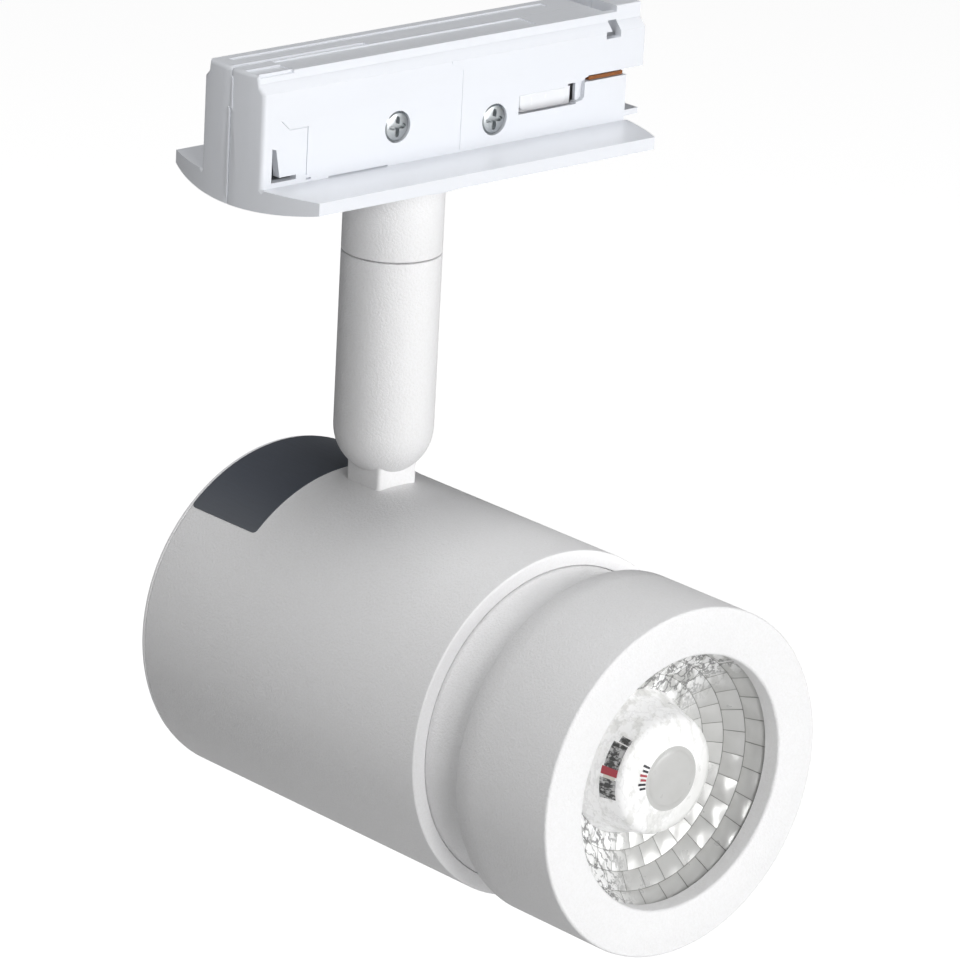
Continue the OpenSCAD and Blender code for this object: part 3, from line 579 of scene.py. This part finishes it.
def shell_half(side):
    s = side
    near, far = s * SPLIT, s * BODY_HALF
    section = [(near, SLOT_Z1), (far, SLOT_Z1), (far, SHOULDER_Z), (s * CROWN_HALF, CROWN_Z),
               (s * CROWN_HALF, BODY_Z1), (near, BODY_Z1)]
    nose = prism("nose", section, BODY_X1 - 2, NOSE_X1, along_track)
    lo, hi = sorted((near, s * (BODY_HALF - SLOT_DEPTH)))
    web = block("web", (BODY_X1 - 1.5, lo, SLOT_Z0), (NOSE_X1 - 0.7, hi, SLOT_Z1 + 0.5))
    edge = -CROWN_HALF if s < 0 else PLATE_Y1
    plate_corners = [(near, BODY_Z1 - 1), (edge, BODY_Z1 - 1), (edge, PLATE_Z1), (near, PLATE_Z1)]
    plate_section = rounded(plate_corners, [0, 0, 0.3 if s < 0 else 1.35, 0], 6)
    plate = prism("plate", plate_section, PLATE_X0, NOSE_X1, along_track)
    boss = lathe("boss", [(0, BOSS_Z), (BOSS_R, BOSS_Z), (BOSS_R, -1), (0, -1)], upright, 128, closed=False)
    keep = block("keep", (-20, min(near, s * 20), -9), (20, max(near, s * 20), 3))
    combine(boss, [keep], "INTERSECT")
    shell = combine(half_blank(s), [nose, web, plate, boss], "UNION")

    out = s * (BODY_HALF + 1)
    skin = s * (CAVITY_HALF - 0.1)
    lo, hi = sorted((near - s * 0.2, s * CAVITY_HALF))
    cavity = block("cavity", (BODY_X0 + 2.6, lo, 0.01), (BODY_X1 - 1.5, hi, SHOULDER_Z - 0.3))
    post = [(0, near - s), (2.7, near - s), (2.7, far), (0, far)]
    bosses = [lathe("post", post, along_y(x, z), 40, closed=False) for x, z in SCREWS]
    combine(cavity, bosses, "DIFFERENCE")
    cuts = [cavity]

    def through(outline, inner=skin):
        cuts.append(side_view("cut", outline, *sorted((out, inner))))

    through([(WINDOW_X0, WINDOW_Z0), (WINDOW_X1, WINDOW_Z0), (WINDOW_X1, WINDOW_Z1),
             (WINDOW_X0, WINDOW_Z1)])
    through([(SLOT_X0, SLOT_Z0), (NOSE_X1 + 1, SLOT_Z0), (NOSE_X1 + 1, SLOT_Z1), (SLOT_X0, SLOT_Z1)],
            s * (BODY_HALF - SLOT_DEPTH))
    # the stepped opening at the window's right end
    end = WINDOW_X1
    through([(end - 1.9, WINDOW_Z1 - 0.01), (end - 0.01, WINDOW_Z1 - 0.01), (end - 0.01, WINDOW_Z0 + 0.3),
             (end + 0.45, WINDOW_Z0 + 0.3), (end + 0.45, SLOT_Z0 + 0.25), (end - 1.9, SLOT_Z0 + 0.25)])
    # a shallow sill that leads from the window up to the contact's slot
    through([(end + 0.4, WINDOW_Z0 + 0.4), (end + 1.2, WINDOW_Z0 + 0.4), (end + 1.7, WINDOW_Z0 + 0.9),
             (end + 1.8, SLOT_Z0), (SLOT_X0 + 0.1, SLOT_Z0 + 0.05), (SLOT_X0 + 0.1, SLOT_Z1 - 0.1),
             (end + 0.4, SLOT_Z0 + 0.25)], s * (BODY_HALF - 0.8))
    # an L-shaped opening near the left end
    left = BODY_X0 + 1
    through([(left + 1.6, 0.8), (left + 6.5, 0.8), (left + 6.5, 1.5), (left + 3.2, 1.5), (left + 2.4, 5.9),
             (left + 1.6, 6.2)], s * (BODY_HALF - 1.4))
    # the notch under the crown's right end, and the gap between the crown and the raised plate
    key = NOSE_X1 - 7
    through([(key, SHOULDER_Z + 0.1), (key - 1.3, SHOULDER_Z + 0.1), (key - 1.3, SHOULDER_Z - 1),
             (PLATE_X0, SHOULDER_Z - 1), (PLATE_X0, CROWN_Z + 0.2), (key, CROWN_Z + 0.2)], s * 2.0)
    lo, hi = sorted((near - s * 0.2, -CROWN_HALF + 1.3 if s < 0 else out))
    cuts.append(block("gap", (key, lo, CROWN_Z - 0.4), (PLATE_X0, hi, PLATE_Z1 + 1)))
    lo, hi = sorted((near - s * 0.2, far))
    cuts.append(block("relief", (BODY_X1 + 0.01, lo, -0.3), (NOSE_X1 + 3, hi, 0.01)))
    # a shallow panel line round the moulded spring tongue
    groove = 0.16
    line = s * (BODY_HALF - 0.22)
    x0, x1, z1 = left + 4.9, left + 8.6, 8.85
    through([(x0 + 0.1, z1 - groove), (x1 - groove, z1 - groove), (x1 - groove, 1.1), (x1, 1.1),
             (x1, z1), (x0, z1), (x0 - 1.6, z1 + 1.5), (x0 - 1.7, z1 + 1.4)], line)
    through([(x1 - 0.1, 0.35), (x1 + 0.9, 0.35), (x1 + 0.9, 0.65), (x1 - 0.1, 0.75)], s * (BODY_HALF - 0.5))
    # the line left by the mould's sliding core
    line = s * (BODY_HALF - 0.07)
    through([(4.3, 16), (4.4, 16), (4.4, 14.5), (6.8, 13.2), (6.8, 0.2), (6.7, 0.2), (6.7, 13.1),
             (4.3, 14.4)], line)
    # a hairline gap where the body meets the flange
    through([(-20, 0.01), (-8, 0.01), (-8, 0.2), (-20, 0.28)], s * (BODY_HALF - 0.5))
    for x0, x1, y0, y1, depth in FRONT_LANDS if s < 0 else REAR_LANDS:
        cuts.append(block("land", (x0, y0, BODY_Z1 - depth), (x1, y1, BODY_Z1 + 1)))
    lo, hi = sorted((near - s * 0.2, s * (CAVITY_HALF + 0.1)))
    cuts.append(block("mouth", (BODY_X1 - 2.5, lo, 0.01), (NOSE_X1, hi, 1.25)))
    well = [(0, -9), (NIPPLE_HOLE_R, -9), (NIPPLE_HOLE_R, 1), (0, 1)]
    cuts.append(lathe("well", well, upright, 64, closed=False))
    for x, z in SCREWS:
        place = along_y(x, z)
        if s < 0:
            seat = -BODY_HALF + BORE_DEPTH
            bore = [(0, -9), (2.56, -9), (2.56, seat), (1.3, seat), (1.3, 1), (0, 1)]
            cuts.append(lathe("bore", bore, place, 48, closed=False))
        else:
            bore = [(0, -1), (1.12, -1), (1.12, 5.5), (0, 5.5)]
            cuts.append(lathe("bore", bore, place, 32, closed=False))
    combine(shell, cuts, "DIFFERENCE")
    # a thread of flash along the seam, with a jog where the two halves register
    z0, z1 = (11.2, BODY_Z1 - 1.2) if s < 0 else (-2.6, 11.6)
    lo, hi = (-0.5, -0.12) if s < 0 else (SPLIT, 0.42)
    flash = prism("flash", [(lo, z0), (hi, z0 + 0.5), (hi, z1), (lo + 0.1, z1 - 0.4)],
                  BODY_X0 - 0.14, BODY_X0 + 0.5, along_track)
    combine(shell, [flash], "UNION")
    return soften(shell, 0.14, 30, 2)


def latch_bar(side):
    """The rounded bar that a pawl shows in its window."""
    x0, x1 = WINDOW_X0 + 0.2, WINDOW_X1 - 2.15
    z0, z1 = WINDOW_Z0 + 0.25, WINDOW_Z1 - 0.05
    corners = [(x0 + 0.15, z0 + 0.35), (x0, z1), (x1, z1), (x1, z0 + 0.1), (x0 + 3.4, z0)]
    outline = rounded(corners, [1.0, 0.25, 0.5, 0.9, 3.0], 5)
    bar = side_view("bar", outline, *sorted((side * (BODY_HALF - 1.5), side * (BODY_HALF - 0.12))))
    return soften(bar, 0.75, 50, 4)


# ---- screws -----------------------------------------------------------------------------------

def screw_piece(name, head_r, head_t, shank_r, length, place, lobes=4):
    """A screw with a low rounded head and a crossed recess; place maps its axis, head at the low end."""
    head = [(0, -head_t), (head_r * 0.55, -head_t), (head_r * 0.86, -head_t * 0.86),
            (head_r, -head_t * 0.55), (head_r, 0), (shank_r, 0)]
    pitch = shank_r * 0.45
    d = pitch
    while d < length - 2 * pitch:
        head += [(shank_r, d), (shank_r * 0.86, d + pitch / 2)]
        d += pitch
    head += [(shank_r * 0.8, length - pitch), (shank_r * 0.25, length), (0, length)]
    body = lathe(name, head, place, 48, closed=False)
    star = []
    for k in range(lobes * 8):
        a = 2 * pi * k / (lobes * 8)
        r = head_r * (0.46 + 0.25 * cos(lobes * a))
        star.append((r * cos(a), r * sin(a)))
    recess = prism("recess", star, -head_t - 1, -head_t * 0.3, place)
    combine(body, [recess], "DIFFERENCE")
    shade(body, 30)
    return body


def join(name, parts):
    first = parts[0]
    with bpy.context.temp_override(active_object=first, selected_editable_objects=parts):
        bpy.ops.object.join()
    first.name = name
    return first


# ---- build: adapter ---------------------------------------------------------------------------

HALVES = ((-1, "front"), (1, "rear"))
for side, end in HALVES:
    moulding = finish_piece(shell_half(side), "plastic", "adapter", end + "_shell", slot="adapter_plastic")
    moulding.name = end + "_shell_moulding"

for side, end in HALVES:
    bar = finish_piece(latch_bar(side), "latch", end + "_latch", slot="adapter_plastic")
    bar.name = end + "_pawl_face"

heads = [screw_piece("shell_screw", 2.45, 0.95, 1.1, 11.4, lambda a, b, d, x=x, z=z: (
    x + a, -BODY_HALF + BORE_DEPTH + d, z + b)) for x, z in SCREWS]
finish_piece(join("shell_screw_pair", heads), "zinc", "adapter", "shell_screws", slot="zinc")

collar_z0, collar_z1 = collar_low[2], collar_high[2]
collar_profile = rounded([(STEM_R - 1.6, collar_z1), (STEM_R, collar_z1), (STEM_R, collar_z0),
                          (3.92, collar_z0), (3.92, collar_z0 + 3), (STEM_R - 1.6, collar_z0 + 3)],
                         [0, 0.1, 0.15, 0, 0, 0])
collar = lathe("collar_turned", collar_profile, upright, 128)
shade(collar)
finish_piece(collar, "powder", "adapter", "collar", slot="white_powder")

# ---- build: stem ------------------------------------------------------------------------------

stem_top = stem_high[2]
dome = [(STEM_R * cos(a), PIVOT_Z - STEM_R * sin(a)) for a in [pi / 2 * k / 20 for k in range(1, 20)]]
outer = rounded([(6.2, stem_top), (STEM_R, stem_top), (STEM_R, PIVOT_Z)], [0, 0.15, 0])
stem_inside = [(0, stem_low[2]), (0, PIVOT_Z + 7.3), (6.3, PIVOT_Z + 7.4), (6.3, stem_top - 3),
               (NIPPLE_HOLE_R, stem_top - 3)]
stem_profile = [(NIPPLE_HOLE_R, stem_top)] + outer + dome + stem_inside
stem = lathe("stem_turned", stem_profile, upright, 128)
half_slot = knuckle_high[0] + 0.1
pocket = knuckle_high[1] + 0.15
slot_cut = block("slot", (-half_slot, -pocket, stem_low[2] - 5), (half_slot, STEM_R + 2, PIVOT_Z + pocket))
lead_hole = lathe("lead_hole", [(0, PIVOT_Z), (2.7, PIVOT_Z), (2.7, PIVOT_Z + 9), (0, PIVOT_Z + 9)],
                  upright, 48, closed=False)
PIVOT_SEAT = STEM_R - 2.4
screw_bore = lathe("screw_bore", [(0, -STEM_R + 1.3), (PIVOT_BORE_R, -STEM_R + 1.3),
                                  (PIVOT_BORE_R, PIVOT_SEAT), (2.9, PIVOT_SEAT), (2.9, STEM_R + 1),
                                  (0, STEM_R + 1)], along_x(0, PIVOT_Z), 48, closed=False)
combine(stem, [slot_cut, lead_hole, screw_bore], "DIFFERENCE")
soften(stem, 0.22, 40, 3)
finish_piece(stem, "powder", "stem", "stem_tube", slot="white_powder")

pivot = screw_piece("pivot_screw_turned", 2.7, 1.6, 1.5, 12.2,
                    lambda a, b, d: (PIVOT_SEAT - d, a, PIVOT_Z + b))
finish_piece(pivot, "zinc", "stem", "pivot_screw", slot="zinc")

# ---- build: head ------------------------------------------------------------------------------

tube_back, tube_front = -tube_high[1], -tube_low[1]
tube_profile = rounded([(TUBE_BORE, tube_back), (HEAD_R, tube_back), (HEAD_R, tube_front),
                        (TUBE_BORE, tube_front)], [0, 0.22, 0.4, 0.2])
housing = lathe("housing_tube_turned", tube_profile, along_head, 256)
shade(housing, 40)
finish_piece(housing, "powder", "head", "housing_tube", slot="white_powder")

# the turned edge that closes the housing's front, in a copy of the white powder coat painted brighter:
# painted light on the front face
lip_r, lip_d0, lip_d1 = HEAD_R - 0.05, tube_front - 0.3, tube_front + 0.03
lip_profile = rounded([(SPIGOT_REACH, lip_d0), (lip_r, lip_d0), (lip_r, lip_d1), (SPIGOT_REACH, lip_d1)],
                      [0, 0, 0.25, 0.1])
lip = lathe("tube_lip", lip_profile, along_head, 256)
shade(lip, 40)
finish_piece(lip, "lip", "head", slot="white_powder")

cap_back = -cap_high[1]
rim_r, seam_d = TUBE_BORE - 0.05, tube_back - 0.06
cap_profile = rounded([(0, cap_back), (HEAD_R, cap_back), (HEAD_R, seam_d), (rim_r, seam_d),
                       (rim_r, tube_back + 3.3), (TUBE_BORE - 1.5, tube_back + 3.3),
                       (TUBE_BORE - 1.5, tube_back), (0, tube_back)], [0, 0.35, 0.12, 0, 0, 0, 0, 0])
cap = lathe("rear_cap_pressed", cap_profile, along_head, 256, closed=False)
PILLARS = [(PILLAR_R * cos(radians(a)), PILLAR_R * sin(radians(a))) for a in PILLAR_TURNS]
cap_seat = cap_back + 1.7


def over_pillar(pillar, shift=0):
    """Maps a screw's own axis to a pillar behind the cap."""
    return lambda a, b, d: along_head(pillar[0] + a, pillar[1] + b, shift + d)


sink = [(0, cap_back - 1), (2.95, cap_back - 1), (2.95, cap_back + 0.5), (1.65, cap_seat), (0, cap_seat)]
holes = [lathe("hole", sink, over_pillar(p), 48, closed=False) for p in PILLARS]
combine(cap, holes, "DIFFERENCE")
shade(cap, 35)
finish_piece(cap, "powder", "head", "rear_cap", slot="white_powder")

cap_heads = [screw_piece("cap_screw", 2.75, 1.5, 1.5, 10, over_pillar(p, cap_seat)) for p in PILLARS]
finish_piece(join("rear_cap_screw_set", cap_heads), "zinc", "head", "rear_cap_screws", slot="zinc")

# knuckle: a square block with rounded corners and a rounded top, standing on the housing
half, cut = knuckle_high[0], 0.7
plan = rounded([(-half, -half), (half, -half), (half, half), (-half, half)], [cut] * 4, 4)
block_knuckle = prism("knuckle_block", plan, HEAD_Z + HEAD_R - 1.2, PIVOT_Z + half, upright)
rounder = lathe("rounder", [(0, -half - 1), (half, -half - 1), (half, half + 1), (0, half + 1)],
                along_x(0, PIVOT_Z), 64, closed=False)
lower = block("lower", (-half - 1, -half - 1, HEAD_Z), (half + 1, half + 1, PIVOT_Z))
combine(rounder, [lower], "UNION")
combine(block_knuckle, [rounder], "INTERSECT")
saddle = lathe("saddle", [(0, -60), (HEAD_R, -60), (HEAD_R, 60), (0, 60)], along_head, 256, closed=False)
pivot_bore = lathe("pivot_bore", [(0, -9), (PIVOT_BORE_R, -9), (PIVOT_BORE_R, 9), (0, 9)],
                   along_x(0, PIVOT_Z), 48, closed=False)
combine(block_knuckle, [saddle, pivot_bore], "DIFFERENCE")
soften(block_knuckle, 0.12, 50, 2)
finish_piece(block_knuckle, "knuckle", "head", "knuckle", slot="white_powder")

# sticker wrapped over the back of the housing
arc = asin(min(1, label_high[0] / (HEAD_R + 0.11)))
wrap = arc * HEAD_R
label_d0, label_d1 = -label_high[1], -label_low[1]
outline = rounded([(-wrap, label_d0), (wrap, label_d0), (wrap, label_d1), (-wrap, label_d1)], [0.8] * 4, 5)


def sticker():
    """A thin film bent over the housing, built as strips so that it follows the curve."""
    strips = 64
    work = bmesh.new()
    face = work.faces.new([work.verts.new((u, d, 0)) for u, d in outline])
    for k in range(1, strips):
        u = -wrap + 2 * wrap * k / strips
        everything = work.verts[:] + work.edges[:] + work.faces[:]
        bmesh.ops.bisect_plane(work, geom=everything, plane_co=(u, 0, 0), plane_no=(1, 0, 0))
    lifted = bmesh.ops.extrude_face_region(work, geom=work.faces[:])
    top = {v for v in lifted["geom"] if isinstance(v, bmesh.types.BMVert)}
    for v in work.verts:
        r = HEAD_R + (0.10 if v in top else 0.01)
        a = v.co.x / HEAD_R
        v.co = Vector(along_head(r * sin(a), r * cos(a), v.co.y))
    bmesh.ops.recalc_face_normals(work, faces=work.faces)
    mesh = bpy.data.meshes.new("rating_sticker")
    work.to_mesh(mesh)
    work.free()
    piece = bpy.data.objects.new("rating_sticker", mesh)
    bpy.context.collection.objects.link(piece)
    shade(piece, 40)
    return piece


finish_piece(sticker(), "foil", "head", "rating_label", slot="label_silver")

# ---- build: front ring ------------------------------------------------------------------------

ring_back, face_d = -ring_high[1], -ring_low[1]
SLEEVE_R = (ring_high[0] - ring_low[0]) / 2
APERTURE_R = 20.4
SPIGOT_R = TUBE_BORE - 0.07
RING_BORE = 23.4
neck_d0, neck_d1 = tube_front, tube_front + 8.8
# the neck's waist and shoulder, as (change of radius, distance)
flare = [(0, 0.3), (-0.15, 1.4), (-0.35, 2.8), (-0.6, 4.4), (-0.9, 5.8), (-1.1, 6.8), (-1.05, 7.4),
         (-0.65, 7.9), (0.2, 8.4), (1.2, 8.9), (2.0, 9.5), (2.34, 10.1)]
waist = [(min(SPIGOT_R + r, SLEEVE_R), neck_d0 + d) for r, d in flare]
sleeve = rounded([(SLEEVE_R, neck_d1 + 5), (SLEEVE_R, face_d), (APERTURE_R, face_d),
                  (APERTURE_R, face_d - 3)], [0, 0.45, 0.5, 0])
outer_side = [(SPIGOT_R, ring_back)] + waist + sleeve
inner_side = [(RING_BORE, face_d - 3), (RING_BORE, ring_back)]
front = lathe("front_ring_turned", outer_side + inner_side, along_head, 256)
shade(front, 35)
finish_piece(front, "powder", "ring", "front_ring", slot="white_powder")


# ---- build: collimator ------------------------------------------------------------------------

LENS_D = -lens_low[1] - 0.05
# both are outlines from the rim to the middle, as (radius, depth behind the lens's front)
CUP = [(21.2, 0.0), (19.4, 2.8), (17.0, 5.2), (14.2, 6.9), (11.6, 7.8)]
CONE = [(11.6, 7.8), (10.9, 6.2), (10.2, 3.6), (9.6, 1.0), (9.1, 0.1), (8.2, -0.25), (6.4, -0.7),
        (5.2, -1.1)]


def facet_cup():
    """Rings of pillowed facets that step down from the lens's rim towards the lamp."""
    sectors, cells, joint = 30, 5, 0.012
    verts, faces = [], []
    for ring, ((r0, h0), (r1, h1)) in enumerate(zip(CUP, CUP[1:])):
        for k in range(sectors):
            first = len(verts)
            for i in range(cells + 1):
                for j in range(cells + 1):
                    u, v = (joint + (1 - 2 * joint) * k / cells for k in (i, j))
                    swell = (0.48 - 0.07 * ring) * (sin(pi * u) * sin(pi * v)) ** 0.7
                    a = 2 * pi * (k + 0.5 * (ring % 2) + v + 0.12 * u) / sectors
                    r = r0 + (r1 - r0) * u - swell * 0.7
                    depth = h0 + (h1 - h0) * u - swell * 0.5
                    verts.append(along_head(r * cos(a), r * sin(a), LENS_D - depth))
            row = cells + 1
            faces += [[first + i * row + j, first + i * row + j + 1, first + (i + 1) * row + j + 1,
                       first + (i + 1) * row + j] for i in range(cells) for j in range(cells)]
    piece = new_piece("collimator_facets", verts, faces)
    shade(piece, 50)
    return piece


def turned(name, profile, sharp=40):
    piece = lathe(name, profile, along_head, 128, closed=False)
    shade(piece, sharp)
    return piece


finish_piece(facet_cup(), "facets", "head", "lens", slot="clear_lens")
backing = turned("collimator_back", [(r + 0.35, LENS_D - h - 0.35) for r, h in CUP])
finish_piece(backing, "shade", "head", slot="clear_lens")
cone = turned("collimator_cone", [(r, LENS_D - h) for r, h in CONE])
finish_piece(cone, "throat", "head", slot="clear_lens")
DOME_R, DOME_D = 4.5, LENS_D + 1.15
dome_profile = [(5.2, LENS_D + 1.1), (4.75, DOME_D + 0.02)]
dome_profile += [(DOME_R * cos(a), DOME_D + 0.3 * sin(a)) for a in [pi / 2 * k / 8 for k in range(9)]]
finish_piece(turned("lens_dome", dome_profile), "dome", "head", slot="clear_lens")


def glimpse(name, turn0, turn1, near_end, far_end):
    """A patch of lead seen through the lens, on the cone between two angles and two points of its side."""
    rows, columns, lift = 6, 8, 0.06
    verts = []
    for i in range(rows + 1):
        t = near_end + (far_end - near_end) * i / rows
        k = min(int(t), len(CONE) - 2)
        r, h = (CONE[k][axis] + (CONE[k + 1][axis] - CONE[k][axis]) * (t - k) for axis in (0, 1))
        for j in range(columns + 1):
            a = radians(turn0 + (turn1 - turn0) * j / columns)
            verts.append(along_head((r + lift) * cos(a), (r + lift) * sin(a), LENS_D - h + lift))
    row = columns + 1
    faces = [[i * row + j, i * row + j + 1, (i + 1) * row + j + 1, (i + 1) * row + j]
             for i in range(rows) for j in range(columns)]
    return new_piece(name, verts, faces)


GLIMPSES = [("streak", 134, 140, 2.3, 3.1), ("streak", 141, 164, 2.0, 3.0), ("red", 164, 171, 1.9, 3.0),
            ("nylon", 171, 174, 2.1, 2.9), ("streak", 174, 193, 1.9, 3.0)]
GLIMPSES += [(finish, 148 + 7 * i, 151.5 + 7 * i, 6.0 + 0.2 * (i % 2), 6.95)
             for i, finish in enumerate(["sleeve", "sleeve", "red", "red", "sleeve", "sleeve"])]
for i, (finish, *span) in enumerate(GLIMPSES):
    finish_piece(glimpse("lead_glimpse_%d" % i, *span), finish, "head")

# ---- CAD nodes that keep their own shape --------------------------------------------------------

for finish, nodes in CAD_FINISH.items():
    for node in nodes:
        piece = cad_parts[node]
        piece.data.materials.clear()
        piece.data.materials.append(FINISHES[finish].material)
        shade(piece, 30)

EDGE = {"front_pawl": 0.0008, "rear_pawl": 0.0008, "release_slider": 0.0002}
for node in ("front_pawl", "rear_pawl", "release_slider", "live_contact", "neutral_contact"):
    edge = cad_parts[node].modifiers.new("edge", "BEVEL")
    edge.width, edge.segments = EDGE.get(node, 0.0001), 3
    edge.limit_method, edge.angle_limit = "ANGLE", radians(40)

# ---- studio -------------------------------------------------------------------------------------

FLOOR_REACH, FLOOR_Z, FLOOR_GLOW = 6.0, -0.32, 0.75
floor_mesh = bpy.data.meshes.new("studio_floor")
corners = [(-FLOOR_REACH, -FLOOR_REACH), (FLOOR_REACH, -FLOOR_REACH), (FLOOR_REACH, FLOOR_REACH),
           (-FLOOR_REACH, FLOOR_REACH)]
floor_mesh.from_pydata([(x, y, FLOOR_Z) for x, y in corners], [], [(0, 1, 2, 3)])
floor = bpy.data.objects.new("studio_floor", floor_mesh)
bpy.context.collection.objects.link(floor)
floor_finish = Finish("pale_floor", Base_Color=grey(0.7), Emission_Color=grey(1.0), Roughness=0.9)
seen = floor_finish.node("ShaderNodeLightPath", out="Is Camera Ray")
floor_finish.feed(Emission_Strength=seen * FLOOR_GLOW)
floor_mesh.materials.append(floor_finish.material)

# a white backdrop, in a room that is lighter in front of the lamp than behind it
AMBIENT, BACKDROP = 0.20, 1.0
world = bpy.data.worlds.new("studio")
bpy.context.scene.world = world
sky = Tree(world)
around = sky.node("ShaderNodeTexCoord", out="Generated")
back = sky.node("ShaderNodeSeparateXYZ", {}, {"Vector": around}, out="Y")
room = sky.node("ShaderNodeMapRange", {}, {"Value": back, "From Min": -0.8, "From Max": 0.8,
                                           "To Min": 1.5 * AMBIENT, "To Max": 0.3 * AMBIENT})
level = sky.node("ShaderNodeMapRange", {}, {"Value": sky.node("ShaderNodeLightPath", out="Is Camera Ray"),
                                            "To Min": room, "To Max": BACKDROP})
background = sky.nodes["Background"]
background.inputs["Color"].default_value = grey(1.0)
sky.links.new(level.link, background.inputs["Strength"])


def soft_box(name, place, target, size, power):
    """A rectangular studio light aimed at a point."""
    data = bpy.data.lights.new(name, "AREA")
    data.shape, data.size, data.size_y, data.energy = "RECTANGLE", size[0], size[1], power
    lamp = bpy.data.objects.new(name, data)
    lamp.location = place
    lamp.rotation_euler = (Vector(target) - Vector(place)).to_track_quat("-Z", "Y").to_euler()
    bpy.context.collection.objects.link(lamp)
    return lamp


middle = (0, -0.02, -0.05)
soft_box("key", (0.50, -1.3, 0.12), middle, (0.8, 0.8), 10)
soft_box("fill", (-0.52, -1.3, 0.45), middle, (0.5, 0.5), 7.5)
soft_box("top", (-0.4, 0.1, 1.2), middle, (0.5, 0.5), 7)

CAMERA_AT = Vector((-0.615616, -0.694248, 0.264223))
RIGHT = Vector((0.74735542, -0.66257675, 0.04951692))
UP = Vector((0.18043679, 0.2741191, 0.944617))
BACK = -Vector((0.6394548, 0.69702997, -0.32441762))
camera_data = bpy.data.cameras.new("camera")
camera_data.sensor_width = 36
camera_data.lens = 231.92
camera_data.clip_end = 50
camera = bpy.data.objects.new("camera", camera_data)
camera.matrix_world = Matrix.Translation(CAMERA_AT) @ Matrix((RIGHT, UP, BACK)).transposed().to_4x4()
bpy.context.collection.objects.link(camera)
bpy.context.scene.camera = camera
bpy.context.scene.view_settings.view_transform = "Standard"
